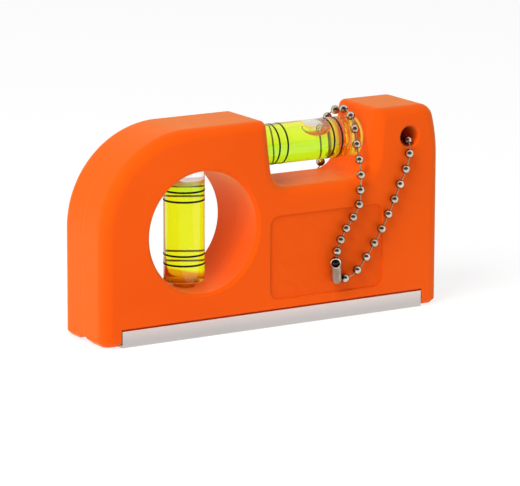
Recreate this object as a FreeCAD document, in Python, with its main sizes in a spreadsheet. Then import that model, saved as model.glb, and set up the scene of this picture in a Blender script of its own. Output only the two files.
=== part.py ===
import FreeCAD, Part
import math
import os
import Sketcher

# Hanging chain level: a pocket spirit level of two moulded halves that hold two vials,
# with a grooved metal rail along its base and a ball chain through its eyelet.
# Millimetres. The origin is the middle of the rail's underside, on the line of its V-groove.
# +X runs to the end with the eyelet, +Y to the back face, +Z up.

# Driving sizes
SIZES = {
    # Moulded body
    "thickness": 21.3,
    "heel_wall": 13.7,
    "web_wall": 3.2,
    "nose_width": 19.4,
    "shoulder_radius": 26.0,
    "nose_radius": 4.0,
    "nose_sweep_height": 14.0,
    "nose_sweep_radius": 42.0,
    "edge_radius": 3.0,
    "sole_lift": 0.45,
    "sole_bevel": 1.0,
    # Notch that shows the level vial
    "notch_width": 33.5,
    "notch_floor": 36.2,
    "notch_depth": 18.0,
    "notch_flare": 2.2,
    "notch_floor_radius": 6.0,
    "notch_lip_radius": 1.6,
    # Round window of the plumb vial
    "window_bore": 31.8,
    "window_lift": 0.1,
    "window_lip": 0.8,
    # Eyelet for the chain
    "eyelet_drop": 7.95,
    "eyelet_bore": 5.6,
    "eyelet_lip": 0.4,
    # Shallow panel on the front face
    "panel_lead": 0.5,
    "panel_overrun": 1.5,
    "panel_bottom": 7.1,
    "panel_drop": 6.9,
    "panel_depth": 0.35,
    "panel_corner": 2.7,
    # Base rail, with its V-groove
    "rail_height": 4.3,
    "rail_inset": 0.1,
    "rail_end_wall": 5.3,
    "rail_end_gap": 0.25,
    "rail_bevel": 0.25,
    "groove_width": 8.6,
    "groove_depth": 2.5,
    "shadow_height": 0.5,
    "shadow_depth": 1.0,
    # Vials, both from one mould
    "vial_diameter": 10.7,
    "vial_blind_reach": 16.1,
    "vial_plug_reach": 14.3,
    "vial_edge": 0.4,
    "cavity_bore": 8.3,
    "plug_wall": 0.7,
    "blind_wall": 3.9,
    "spigot_diameter": 5.5,
    "spigot_length": 4.4,
    "line_inner": 7.1,
    "line_outer": 9.6,
    "line_width": 0.35,
    "line_height": 0.06,
    "level_vial_offset": 0.65,
    "level_vial_drop": 8.2,
    "seat_gap": 0.05,
    # Gas in the vials
    "bubble_length": 8.6,
    "bubble_depth": 3.5,
    "bubble_shift": 3.9,
    "bubble_film": 0.1,
    "gas_layer": 1.1,
    # Ball chain and its sleeve
    "bead_diameter": 2.35,
    "link_diameter": 0.7,
    "cap_rim": 0.1,
    "chain_pitch": 4.2,
    "slack_pitch": 2.95,
    "foot_pitch": 2.95,
    "chain_gap": 0.12,
    "sleeve_play": 0.035,
    "sleeve_wall": 0.16,
    "sleeve_length": 6.9,
    "sleeve_port": 2.1,
    "sleeve_mouth": 1.3,
    "sleeve_round": 0.6,
    "sleeve_slot": 1.2,
    "sleeve_setback": 13.95,
    "sleeve_drop": 22.85,
}

# Places that follow from the driving sizes
LENGTH = "(dim.heel_wall + dim.window_bore + dim.web_wall + dim.notch_width + dim.nose_width)"
HEIGHT = "(dim.notch_floor + dim.notch_depth)"
WINDOW_X = "(-%s / 2 + dim.heel_wall + dim.window_bore / 2)" % LENGTH
WINDOW_Z = "(%s / 2 + dim.window_lift)" % HEIGHT
NOTCH_END = "(%s / 2 - dim.nose_width)" % LENGTH
NOTCH_START = "(%s - dim.notch_width)" % NOTCH_END
PANEL_START = "(%s + dim.panel_lead)" % NOTCH_START
PANEL_END = "(%s + dim.panel_overrun)" % NOTCH_END
PANEL_TOP = "(dim.notch_floor - dim.panel_drop)"
RAIL_BAY = "(%s / 2 - dim.rail_end_wall)" % LENGTH
EYELET_X = "(%s + dim.nose_width / 2)" % NOTCH_END
EYELET_Z = "(%s - dim.eyelet_drop)" % HEIGHT
CAVITY_START = "-(dim.vial_plug_reach - dim.plug_wall)"
CAVITY_END = "(dim.vial_blind_reach - dim.blind_wall)"
LEVEL_X = "(%s + dim.notch_width / 2 - dim.level_vial_offset)" % NOTCH_START
LEVEL_Z = "(%s - dim.level_vial_drop)" % HEIGHT
SLEEVE_DIAMETER = "(dim.bead_diameter + 2 * (dim.sleeve_play + dim.sleeve_wall))"
SLEEVE_X = "(%s - dim.sleeve_setback)" % NOTCH_END
SLEEVE_Y = "(-dim.thickness / 2 - dim.chain_gap - %s / 2)" % SLEEVE_DIAMETER
SLEEVE_Z = "(dim.notch_floor - dim.sleeve_drop)"

# Counts
SLACK_LINKS = 7
BEAD_SIDES = 8
BEAD_BANDS = 3
LINK_SIDES = 5
LINE_SIDES = 24
BUBBLE_SIDES = 12

# The sleeve's turn about its own length and its lean to the left, in degrees
SLEEVE_TURN = 31
SLEEVE_LEAN = 2.8

# How near two places are when they count as the same
SAME = 0.01

doc = FreeCAD.newDocument("chain_level")
dim = doc.addObject("Spreadsheet::Sheet", "dim")
for row, (alias, number) in enumerate(SIZES.items(), start=1):
    dim.set("A%d" % row, alias.replace("_", " "))
    dim.set("B%d" % row, str(number))
    dim.setAlias("B%d" % row, alias)
doc.recompute()


def size(alias):
    """A driving size, as a number."""
    return float(getattr(dim, alias))


def worked_out(formula):
    """A formula in the sheet's sizes, as a number."""
    return float(dim.evalExpression(formula))


def bind(thing, name, formula):
    """Tie a property to a formula in the sheet's sizes."""
    thing.setExpression(name, formula)


def new_body(label):
    body = doc.addObject("PartDesign::Body", label)
    body.Label = label
    return body


def plane_of(body, role):
    return next(feature for feature in body.Origin.OriginFeatures if feature.Role == role)


def new_sketch(body, name, role, lift=None):
    """An empty sketch on one of the body's own planes, moved along its normal by a formula."""
    sketch = body.newObject("Sketcher::SketchObject", name)
    sketch.AttachmentSupport = [(plane_of(body, role), "")]
    sketch.MapMode = "FlatFace"
    if lift:
        bind(sketch, "AttachmentOffset.Base.z", lift)
    return sketch


def pin_point(sketch, geometry, end, place):
    """Hold one end of a sketch line at a place given by two formulas."""
    for kind, formula in zip(("DistanceX", "DistanceY"), place):
        value = sketch.evalExpression(formula)
        index = sketch.addConstraint(Sketcher.Constraint(kind, -1, 1, geometry, end, value))
        bind(sketch, "Constraints[%d]" % index, formula)


def bulged(start, end, radius):
    """An arc from start to end that stands out to the right of the way between them."""
    chord = end - start
    half = chord.Length / 2
    outward = FreeCAD.Vector(chord.y, -chord.x, 0).normalize()
    return Part.Arc(start, (start + end) / 2 + outward * (radius - math.sqrt(radius ** 2 - half ** 2)), end)


def draw_outline(sketch, corners):
    """A closed outline, anticlockwise where it has arcs.

    Each corner is a pair of formulas, with a third, a radius, where an arc runs on to the next corner.
    """
    points = [FreeCAD.Vector(sketch.evalExpression(corner[0]), sketch.evalExpression(corner[1]), 0)
              for corner in corners]
    first = sketch.GeometryCount
    count = len(points)
    for corner, start, end in zip(corners, points, points[1:] + points[:1]):
        if len(corner) == 3:
            edge = bulged(start, end, sketch.evalExpression(corner[2]))
        else:
            edge = Part.LineSegment(start, end)
        sketch.addGeometry(edge, False)
    for index, corner in enumerate(corners):
        following = first + (index + 1) % count
        sketch.addConstraint(Sketcher.Constraint("Coincident", first + index, 2, following, 1))
        pin_point(sketch, first + index, 1, corner[:2])
        if len(corner) == 3:
            radius = sketch.addConstraint(
                Sketcher.Constraint("Radius", first + index, sketch.evalExpression(corner[2])))
            bind(sketch, "Constraints[%d]" % radius, corner[2])


def draw_box(sketch, left, right, low, high):
    draw_outline(sketch, [(left, low), (right, low), (right, high), (left, high)])


def draw_circle(sketch, across, up, diameter):
    centre = FreeCAD.Vector(sketch.evalExpression(across), sketch.evalExpression(up), 0)
    width = sketch.evalExpression(diameter)
    circle = sketch.addGeometry(Part.Circle(centre, FreeCAD.Vector(0, 0, 1), width / 2), False)
    pin_point(sketch, circle, 3, (across, up))
    index = sketch.addConstraint(Sketcher.Constraint("Diameter", circle, width))
    bind(sketch, "Constraints[%d]" % index, diameter)


def extrude(body, kind, sketch, name, length, reverse=False, both=False):
    """A Pad or a Pocket of a sketch; both makes it reach as far on each side of the sketch."""
    feature = body.newObject("PartDesign::" + kind, name)
    feature.Profile = sketch
    feature.Reversed = reverse
    if both:
        feature.SideType = "Symmetric"
    bind(feature, "Length", length)
    doc.recompute()
    return feature


def turn(body, kind, sketch, name):
    """A Revolution or a Groove of a sketch about its horizontal axis."""
    feature = body.newObject("PartDesign::" + kind, name)
    feature.Profile = sketch
    feature.ReferenceAxis = (sketch, ["H_Axis"])
    feature.Angle = 360
    doc.recompute()
    return feature


def bore(body, name, role, place, diameter, depth):
    """A round hole along the normal of a plane; place is its start in that plane's own axes."""
    hole = body.newObject("PartDesign::SubtractiveCylinder", name)
    hole.AttachmentSupport = [(plane_of(body, role), "")]
    hole.MapMode = "FlatFace"
    for axis, formula in zip("xyz", place):
        bind(hole, "AttachmentOffset.Base." + axis, formula)
    bind(hole, "Radius", "(%s) / 2" % diameter)
    bind(hole, "Height", depth)
    doc.recompute()
    return hole


def dress(body, kind, name, radius, wanted):
    """A Fillet or a Chamfer on every edge of the body that the test wanted picks."""
    base = body.Tip
    names = ["Edge%d" % number for number, edge in enumerate(base.Shape.Edges, start=1) if wanted(edge)]
    feature = body.newObject("PartDesign::" + kind, name)
    feature.Base = (base, names)
    bind(feature, "Radius" if kind == "Fillet" else "Size", radius)
    doc.recompute()
    return feature


def flat_in(edge, axis, place):
    """Whether the whole edge lies where one coordinate has this value."""
    box = edge.BoundBox
    low = getattr(box, axis + "Min")
    high = getattr(box, axis + "Max")
    return abs(low - place) < SAME and abs(high - place) < SAME


def straight_through(edge, across, up):
    """Whether the edge runs along Y through this place."""
    box = edge.BoundBox
    return (
        box.YLength > SAME
        and abs(box.XMin - across) < SAME
        and abs(box.XMax - across) < SAME
        and abs(box.ZMin - up) < SAME
        and abs(box.ZMax - up) < SAME
    )


def round_rim(edge, place, across, up, diameter):
    """Whether the edge is a circle of this diameter in the plane Y = place."""
    if edge.Degenerated or not flat_in(edge, "Y", place):
        return False
    curve = edge.Curve
    return (
        curve.TypeId == "Part::GeomCircle"
        and abs(curve.Radius - diameter / 2) < SAME
        and abs(curve.Center.x - across) < SAME
        and abs(curve.Center.z - up) < SAME
    )


def ring(centre, axis, across, radius, sides):
    """Corners of a regular polygon round an axis, the first of them towards across."""
    first = (across - axis * across.dot(axis)).normalize()
    second = axis.cross(first)
    corners = []
    for index in range(sides):
        angle = 2 * math.pi * index / sides
        corners.append(centre + (first * math.cos(angle) + second * math.sin(angle)) * radius)
    return corners


def solid_from(faces):
    solid = Part.makeSolid(Part.makeShell([Part.Face(Part.makePolygon(face + face[:1])) for face in faces]))
    if solid.Volume < 0:
        solid.reverse()
    return solid


def band(low, high):
    """The faces between two rings with as many corners each."""
    after = range(1, len(low))
    return [[low[index - 1], low[index], high[index], high[index - 1]] for index in (*after, 0)]


def banded_solid(rings):
    """A closed solid through a row of rings, with a flat at each end."""
    faces = [rings[0], rings[-1]]
    for low, high in zip(rings, rings[1:]):
        faces += band(low, high)
    return solid_from(faces)


def add_solid(label, shape):
    piece = doc.addObject("Part::Feature", label)
    piece.Label = label
    piece.Shape = shape
    return piece


# Moulded halves

HEEL = "-%s / 2" % LENGTH
NOSE = "%s / 2" % LENGTH
SWEEP_START = "%s - dim.nose_sweep_height" % HEIGHT
SWEEP_END = "%s - dim.nose_sweep_radius + sqrt(dim.nose_sweep_radius ^ 2 - dim.nose_sweep_height ^ 2)" % NOSE

OUTLINE = {
    "heel_foot": (HEEL, "dim.sole_lift"),
    "nose_foot": (NOSE, "dim.sole_lift"),
    "nose_sweep": (NOSE, SWEEP_START, "dim.nose_sweep_radius"),
    "nose_top": (SWEEP_END, HEIGHT),
    "right_lip": (NOTCH_END, HEIGHT),
    "right_floor": (NOTCH_END + " - dim.notch_flare", "dim.notch_floor"),
    "left_floor": (NOTCH_START + " + dim.notch_flare", "dim.notch_floor"),
    "left_lip": (NOTCH_START, HEIGHT),
    "heel_top": (HEEL, HEIGHT),
}

# Corners of the outline that are rounded, and by which size
ROUNDED = {
    "heel_top": "shoulder_radius",
    "nose_top": "nose_radius",
    "right_floor": "notch_floor_radius",
    "left_floor": "notch_floor_radius",
    "right_lip": "notch_lip_radius",
    "left_lip": "notch_lip_radius",
}


def outer_form(body, side):
    """The outside of one half; side is -1 for the front half and 1 for the back half."""
    sketch = new_sketch(body, body.Label + "_outline", "XZ_Plane")
    draw_outline(sketch, list(OUTLINE.values()))
    extrude(body, "Pad", sketch, body.Label + "_block", "dim.thickness / 2", reverse=side > 0)
    for corner, radius in ROUNDED.items():
        across, up = [sketch.evalExpression(formula) for formula in OUTLINE[corner]]
        name = "%s_%s" % (body.Label, corner)
        dress(body, "Fillet", name, "dim." + radius, lambda edge: straight_through(edge, across, up))

    face = side * size("thickness") / 2
    sole = size("sole_lift")

    def on_face_rim(edge):
        return flat_in(edge, "Y", face) and not flat_in(edge, "Z", sole)

    def on_sole(edge):
        return flat_in(edge, "Z", sole) and not flat_in(edge, "Y", 0)

    dress(body, "Fillet", body.Label + "_soft_edge", "dim.edge_radius", on_face_rim)
    dress(body, "Chamfer", body.Label + "_sole_edge", "dim.sole_bevel", on_sole)


def window(body, side):
    """The round window through the body, with a bevelled lip."""
    sketch = new_sketch(body, body.Label + "_window_circle", "XZ_Plane")
    draw_circle(sketch, WINDOW_X, WINDOW_Z, "dim.window_bore")
    extrude(body, "Pocket", sketch, body.Label + "_window", "2 * dim.thickness", both=True)
    place = (worked_out(WINDOW_X), worked_out(WINDOW_Z), size("window_bore"))
    face = side * size("thickness") / 2
    dress(body, "Chamfer", body.Label + "_window_lip", "dim.window_lip", lambda edge: round_rim(edge, face, *place))


def eyelet(body, side):
    """The chain's hole through the body, with a bevelled mouth."""
    sketch = new_sketch(body, body.Label + "_eyelet_circle", "XZ_Plane")
    draw_circle(sketch, EYELET_X, EYELET_Z, "dim.eyelet_bore")
    extrude(body, "Pocket", sketch, body.Label + "_eyelet", "2 * dim.thickness", both=True)
    place = (worked_out(EYELET_X), worked_out(EYELET_Z), size("eyelet_bore"))
    face = side * size("thickness") / 2
    dress(body, "Chamfer", body.Label + "_eyelet_lip", "dim.eyelet_lip", lambda edge: round_rim(edge, face, *place))


def rail_rebate(body, side):
    """The place of the rail, the shadow line above it, and the V-groove across the body's ends."""
    sketch = new_sketch(body, body.Label + "_rebate_box", "XZ_Plane")
    draw_box(sketch, "-" + RAIL_BAY, RAIL_BAY, "-dim.rail_height", "dim.rail_height")
    extrude(body, "Pocket", sketch, body.Label + "_rebate", "2 * dim.thickness", both=True)

    sketch = new_sketch(body, body.Label + "_shadow_box", "XZ_Plane", "%d * dim.thickness / 2" % -side)
    draw_box(sketch, "-" + RAIL_BAY, RAIL_BAY, "0", "dim.rail_height + dim.shadow_height")
    extrude(body, "Pocket", sketch, body.Label + "_shadow_line", "2 * dim.shadow_depth", both=True)

    sketch = new_sketch(body, body.Label + "_groove_section", "YZ_Plane")
    draw_outline(sketch, [("-dim.groove_width / 2", "0"), ("dim.groove_width / 2", "0"), ("0", "dim.groove_depth")])
    extrude(body, "Pocket", sketch, body.Label + "_end_groove", "2 * " + LENGTH, both=True)


def vial_seats(body):
    """Half of each vial's room in the body: one bore for the barrel and a slimmer one for the spigots."""
    barrel = "dim.vial_diameter + 2 * dim.seat_gap"
    barrel_start = "(dim.vial_plug_reach + dim.seat_gap)"
    barrel_length = "dim.vial_plug_reach + dim.vial_blind_reach + 2 * dim.seat_gap"
    spigot = "dim.spigot_diameter + 2 * dim.seat_gap"
    spigot_start = "(dim.vial_plug_reach + dim.spigot_length + dim.seat_gap)"
    spigot_length = barrel_length + " + 2 * dim.spigot_length"
    label = body.Label
    bore(body, label + "_level_sockets", "YZ_Plane",
         ("0", LEVEL_Z, "%s - %s" % (LEVEL_X, spigot_start)), spigot, spigot_length)
    bore(body, label + "_level_seat", "YZ_Plane",
         ("0", LEVEL_Z, "%s - %s" % (LEVEL_X, barrel_start)), barrel, barrel_length)
    bore(body, label + "_plumb_sockets", "XY_Plane",
         (WINDOW_X, "0", "%s - %s" % (WINDOW_Z, spigot_start)), spigot, spigot_length)
    bore(body, label + "_plumb_seat", "XY_Plane",
         (WINDOW_X, "0", "%s - %s" % (WINDOW_Z, barrel_start)), barrel, barrel_length)


def front_half():
    body = new_body("front_shell")
    outer_form(body, -1)
    window(body, -1)
    eyelet(body, -1)
    rail_rebate(body, -1)
    vial_seats(body)

    # Recessed panel, left bare
    sketch = new_sketch(body, "panel_outline", "XZ_Plane", "dim.thickness / 2")
    draw_box(sketch, PANEL_START, PANEL_END, "dim.panel_bottom", PANEL_TOP)
    extrude(body, "Pocket", sketch, "panel_recess", "dim.panel_depth")
    corners = [(worked_out(across), worked_out(up))
               for across in (PANEL_START, PANEL_END) for up in ("dim.panel_bottom", PANEL_TOP)]

    def at_corner(edge):
        return any(straight_through(edge, across, up) for across, up in corners)

    dress(body, "Fillet", "panel_corners", "dim.panel_corner", at_corner)
    return body


def back_half():
    body = new_body("back_shell")
    outer_form(body, 1)
    window(body, 1)
    eyelet(body, 1)
    rail_rebate(body, 1)
    vial_seats(body)
    return body


# Base rail

def base_rail():
    """A metal bar across the whole thickness, with the V-groove along its underside."""
    body = new_body("base_rail")
    side = "(dim.thickness / 2 - dim.rail_inset)"
    sketch = new_sketch(body, "rail_section", "YZ_Plane")
    draw_outline(sketch, [
        ("-" + side, "0"),
        ("-dim.groove_width / 2", "0"),
        ("0", "dim.groove_depth"),
        ("dim.groove_width / 2", "0"),
        (side, "0"),
        (side, "dim.rail_height"),
        ("-" + side, "dim.rail_height"),
    ])
    extrude(body, "Pad", sketch, "rail_bar", "2 * (%s - dim.rail_end_gap)" % RAIL_BAY, both=True)
    edge_y = size("thickness") / 2 - size("rail_inset")

    def long_corner(edge):
        return flat_in(edge, "Z", 0) and (flat_in(edge, "Y", edge_y) or flat_in(edge, "Y", -edge_y))

    dress(body, "Chamfer", "rail_bevels", "dim.rail_bevel", long_corner)
    return body


# Vials: each lies along its own X axis, with its plug at the -X end

def vial_tube(name):
    """The clear barrel: blind at one end, with a spigot, and open at the other for the plug."""
    body = new_body(name + "_tube")
    sketch = new_sketch(body, name + "_tube_section", "XZ_Plane")
    draw_outline(sketch, [
        ("-dim.vial_plug_reach", "0"),
        ("-dim.vial_plug_reach", "dim.vial_diameter / 2"),
        ("dim.vial_blind_reach", "dim.vial_diameter / 2"),
        ("dim.vial_blind_reach", "dim.spigot_diameter / 2"),
        ("dim.vial_blind_reach + dim.spigot_length", "dim.spigot_diameter / 2"),
        ("dim.vial_blind_reach + dim.spigot_length", "0"),
    ])
    turn(body, "Revolution", sketch, name + "_barrel")

    def end_rim(edge):
        ends = (-size("vial_plug_reach"), size("vial_blind_reach"))
        round_edge = edge.Curve.TypeId == "Part::GeomCircle" and edge.Curve.Radius > size("vial_diameter") / 2 - SAME
        return round_edge and any(flat_in(edge, "X", end) for end in ends)

    dress(body, "Chamfer", name + "_barrel_rims", "dim.vial_edge", end_rim)

    sketch = new_sketch(body, name + "_cavity_section", "XZ_Plane")
    draw_box(sketch, "-dim.vial_plug_reach", CAVITY_END, "0", "dim.cavity_bore / 2")
    turn(body, "Groove", sketch, name + "_cavity")
    return body


def vial_plug(name):
    """The plug that closes the barrel, with a spigot like the blind end's."""
    body = new_body(name + "_plug")
    sketch = new_sketch(body, name + "_plug_section", "XZ_Plane")
    draw_outline(sketch, [
        (CAVITY_START, "0"),
        (CAVITY_START, "dim.cavity_bore / 2"),
        ("-dim.vial_plug_reach", "dim.cavity_bore / 2"),
        ("-dim.vial_plug_reach", "dim.spigot_diameter / 2"),
        ("-dim.vial_plug_reach - dim.spigot_length", "dim.spigot_diameter / 2"),
        ("-dim.vial_plug_reach - dim.spigot_length", "0"),
    ])
    turn(body, "Revolution", sketch, name + "_plug_form")
    return body


def vial_lines(name):
    """Four ring lines of thick paint round the barrel, two either side of the middle."""
    along = FreeCAD.Vector(1, 0, 0)
    up = FreeCAD.Vector(0, 0, 1)
    foot = size("vial_diameter") / 2 / math.cos(math.pi / LINE_SIDES)
    half = size("line_width") / 2
    lines = []
    for place in (-size("line_outer"), -size("line_inner"), size("line_inner"), size("line_outer")):
        edges = [
            ring(along * (place - half), along, up, foot, LINE_SIDES),
            ring(along * (place + half), along, up, foot, LINE_SIDES),
            ring(along * place, along, up, foot + size("line_height"), LINE_SIDES),
        ]
        faces = []
        for low, high in zip(edges, edges[1:] + edges[:1]):
            faces += band(low, high)
        lines.append(solid_from(faces))
    return add_solid(name + "_lines", Part.makeCompound(lines))


def vial_liquid(name, end, hollow=None):
    """The spirit that fills the cavity up to end, less the hollow of a bubble."""
    body = new_body(name + ("_fill" if hollow else "_liquid"))
    sketch = new_sketch(body, name + "_liquid_section", "XZ_Plane")
    draw_box(sketch, CAVITY_START, end, "0", "dim.cavity_bore / 2")
    turn(body, "Revolution", sketch, name + "_liquid_form")
    if hollow is None:
        return body
    liquid = doc.addObject("Part::Cut", name + "_liquid")
    liquid.Label = name + "_liquid"
    liquid.Base = body
    liquid.Tool = add_solid(name + "_bubble", hollow)
    doc.recompute()
    return liquid


def bubble_form():
    """The long bubble under the top of the level vial: its width at each place along it."""
    along = FreeCAD.Vector(1, 0, 0)
    radius = size("bubble_depth") / 2
    axis_up = size("cavity_bore") / 2 - size("bubble_film") - radius
    rings = []
    for share, width in ((-0.48, 0.3), (-0.4, 0.63), (-0.24, 1), (0.24, 1), (0.4, 0.63), (0.48, 0.3)):
        centre = FreeCAD.Vector(size("bubble_shift") + share * size("bubble_length"), 0, axis_up)
        rings.append(ring(centre, along, FreeCAD.Vector(0, 0, 1), width * radius, BUBBLE_SIDES))
    return banded_solid(rings)


def place_level(piece):
    bind(piece, "Placement.Base.x", LEVEL_X)
    bind(piece, "Placement.Base.z", LEVEL_Z)


def place_plumb(piece):
    """Upright, with the blind end at the top."""
    piece.Placement = FreeCAD.Placement(FreeCAD.Vector(), FreeCAD.Rotation(FreeCAD.Vector(0, 1, 0), -90))
    bind(piece, "Placement.Base.x", WINDOW_X)
    bind(piece, "Placement.Base.z", WINDOW_Z)


def vial(name, place, liquid_end, hollow=None):
    pieces = [vial_tube(name), vial_plug(name), vial_lines(name), vial_liquid(name, liquid_end, hollow)]
    for piece in pieces:
        place(piece)
    return pieces


# Ball chain

def chain_sleeve():
    """The sleeve that joins the chain's ends: a thin tube with rounded ends.

    It lies along its own X axis and is then stood on end. A round port and a short slot on the front
    let the upper bead in, and a slot on the right lets the other strand out near the foot.
    """
    body = new_body("chain_sleeve")
    half = "dim.sleeve_length / 2"
    wall = "dim.sleeve_wall"
    curve = "dim.sleeve_round"
    outer = SLEEVE_DIAMETER + " / 2"
    inner = "(dim.bead_diameter / 2 + dim.sleeve_play)"
    hole = "dim.sleeve_mouth / 2"
    sketch = new_sketch(body, "sleeve_section", "XZ_Plane")
    draw_outline(sketch, [
        ("-" + half, "0"),
        ("-%s + %s" % (half, wall), "0"),
        ("-%s + %s" % (half, wall), "%s - %s" % (inner, curve)),
        ("-%s + %s + %s" % (half, wall, curve), inner),
        ("%s - %s - %s" % (half, wall, curve), inner),
        ("%s - %s" % (half, wall), hole),
        (half, hole),
        (half, "%s - %s" % (outer, curve)),
        ("%s - %s" % (half, curve), outer),
        ("-%s + %s" % (half, curve), outer),
        ("-" + half, "%s - %s" % (outer, curve)),
    ])
    turn(body, "Revolution", sketch, "sleeve_tube")

    upper_bead = "%s - %s - dim.bead_diameter / 2" % (half, wall)
    slot = "dim.sleeve_slot / 2"
    sketch = new_sketch(body, "port_circle", "XZ_Plane")
    draw_circle(sketch, upper_bead, "0", "dim.sleeve_port")
    extrude(body, "Pocket", sketch, "sleeve_port_cut", SLEEVE_DIAMETER, reverse=True)
    sketch = new_sketch(body, "upper_slot_box", "XZ_Plane")
    draw_box(sketch, upper_bead, "dim.sleeve_length", "-" + slot, slot)
    extrude(body, "Pocket", sketch, "upper_slot", SLEEVE_DIAMETER, reverse=True)
    sketch = new_sketch(body, "lower_slot_box", "XY_Plane")
    sketch.AttachmentOffset = FreeCAD.Placement(
        FreeCAD.Vector(), FreeCAD.Rotation(FreeCAD.Vector(1, 0, 0), SLEEVE_TURN))
    draw_box(sketch, "-dim.sleeve_length", "-dim.link_diameter", "-" + slot, slot)
    extrude(body, "Pocket", sketch, "lower_slot", SLEEVE_DIAMETER)

    stand = FreeCAD.Rotation(FreeCAD.Vector(0, 1, 0), -90)
    turned = FreeCAD.Rotation(FreeCAD.Vector(0, 0, 1), -SLEEVE_TURN)
    lean = FreeCAD.Rotation(FreeCAD.Vector(0, 1, 0), -SLEEVE_LEAN)
    body.Placement = FreeCAD.Placement(FreeCAD.Vector(), lean * turned * stand)
    bind(body, "Placement.Base.x", SLEEVE_X)
    bind(body, "Placement.Base.y", SLEEVE_Y)
    bind(body, "Placement.Base.z", SLEEVE_Z)
    doc.recompute()
    return body


def chain_route(sleeve):
    """The chain's centre line, from the sleeve's upper bead round to its lower bead."""
    bead = size("bead_diameter") / 2
    lane = size("thickness") / 2 + bead + size("chain_gap")
    sleeve_x = worked_out(SLEEVE_X)
    sleeve_z = worked_out(SLEEVE_Z)
    inside = size("sleeve_length") / 2 - size("sleeve_wall") - bead
    vial_z = worked_out(LEVEL_Z)
    over = size("vial_diameter") / 2 + bead + size("chain_gap")
    eyelet_x = worked_out(EYELET_X)
    eyelet_z = worked_out(EYELET_Z)
    bed = eyelet_z - size("eyelet_bore") / 2 + bead + size("chain_gap")
    mouth = size("thickness") / 2
    floor = size("notch_floor")
    return [FreeCAD.Vector(*point) for point in [
        # Up the front face from the sleeve
        sleeve.Placement.multVec(FreeCAD.Vector(inside, 0, 0)),
        (sleeve_x + 0.4, -lane, floor - 17.8),
        (sleeve_x + 1.6, -lane, floor - 14.9),
        (sleeve_x + 3.1, -lane, floor - 12.2),
        (sleeve_x + 5.2, -lane, floor - 9.5),
        (sleeve_x + 7.1, -lane, floor - 6.2),
        (sleeve_x + 7.5, -lane, floor - 2.3),
        (sleeve_x + 7.6, -lane, floor + 1.6),
        # Over the notch's edge and the level vial
        (sleeve_x + 8.3, -over * 1.5, vial_z - 4.5),
        (sleeve_x + 8.8, -over * 1.2, vial_z - 0.8),
        (sleeve_x + 9.4, -over * 0.9, vial_z + over * 0.45),
        (sleeve_x + 10.0, -over * 0.43, vial_z + over * 0.91),
        (sleeve_x + 10.3, over * 0.23, vial_z + over * 1.06),
        (sleeve_x + 10.3, over * 0.8, vial_z + over * 0.9),
        # Down the back in a loose loop and up to the eyelet
        (sleeve_x + 10.0, lane - 3.3, vial_z + 3.3),
        (sleeve_x + 9.6, lane - 2.1, vial_z - 0.5),
        (sleeve_x + 9.1, lane - 2.2, floor + 5.2),
        (sleeve_x + 8.9, lane - 2.4, floor + 1.9),
        (sleeve_x + 9.2, lane, floor - 2.2),
        (sleeve_x + 11.3, lane, floor - 6.3),
        (sleeve_x + 15.4, lane, floor - 8.2),
        (sleeve_x + 19.4, lane, floor - 6.0),
        (eyelet_x - 1.5, lane, floor - 0.7),
        (eyelet_x - 0.2, lane, eyelet_z - 4.4),
        # Through the eyelet
        (eyelet_x, mouth - 0.2, bed + 0.6),
        (eyelet_x, 0.0, bed),
        (eyelet_x, -mouth + 0.9, bed + 0.1),
        # Down the front face to the sleeve
        (eyelet_x - 1.0, -lane, eyelet_z - 4.5),
        (eyelet_x - 2.15, -lane, eyelet_z - 8.5),
        (eyelet_x - 3.95, -lane, eyelet_z - 12.4),
        (eyelet_x - 5.6, -lane, eyelet_z - 16.2),
        (eyelet_x - 7.5, -lane, eyelet_z - 19.9),
        (eyelet_x - 9.5, -lane, eyelet_z - 23.6),
        (eyelet_x - 11.8, -lane, eyelet_z - 27.2),
        (sleeve_x + 9.4, -lane, sleeve_z + 2.3),
        (sleeve_x + 6.6, -lane, sleeve_z - 0.85),
        (sleeve_x + 3.0, -lane, sleeve_z - 2.5),
        sleeve.Placement.multVec(FreeCAD.Vector(-inside, 0, 0)),
    ]]


def bead_centres(sleeve):
    """Places of the beads: even, but closed up where the chain is slack, at the sleeve's top and foot."""
    curve = Part.BSplineCurve()
    curve.interpolate(chain_route(sleeve))
    route = curve.toShape()
    tight = size("slack_pitch")
    loose = size("chain_pitch")
    stations = [0.0]
    for index in range(SLACK_LINKS):
        stations.append(stations[-1] + tight + (loose - tight) * index / SLACK_LINKS)
    rest = route.Length - stations[-1] - size("foot_pitch")
    count = round(rest / loose)
    start = stations[-1]
    stations += [start + rest * (index + 1) / count for index in range(count)]
    centres = [route.valueAt(route.getParameterByLength(station)) for station in stations]
    return centres + [route.valueAt(route.LastParameter)], route.Length


def bead_form():
    """A bead with few faces: bands round its Z axis between two small flats where the links enter."""
    radius = size("bead_diameter") / 2
    flat = math.asin((size("link_diameter") / 2 + size("cap_rim")) / radius)
    along = FreeCAD.Vector(0, 0, 1)
    rings = []
    for step in range(BEAD_BANDS + 1):
        angle = flat + (math.pi - 2 * flat) * step / BEAD_BANDS
        centre = along * -radius * math.cos(angle)
        rings.append(ring(centre, along, FreeCAD.Vector(1, 0, 0), radius * math.sin(angle), BEAD_SIDES))
    return banded_solid(rings), radius * math.cos(flat)


def link_form(start, start_axis, end, end_axis):
    """A short wire link from one bead's flat to the next bead's."""
    along = (end - start).normalize()
    across = along.cross(FreeCAD.Vector(0.3, 0.2, 0.9)).normalize()
    radius = size("link_diameter") / 2
    low = ring(start, start_axis, across, radius, LINK_SIDES)
    high = ring(end, end_axis, across, radius, LINK_SIDES)
    faces = [low, high]
    for index in range(LINK_SIDES):
        after = (index + 1) % LINK_SIDES
        faces.append([low[index], low[after], high[after]])
        faces.append([low[index], high[after], high[index]])
    return solid_from(faces)


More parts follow.
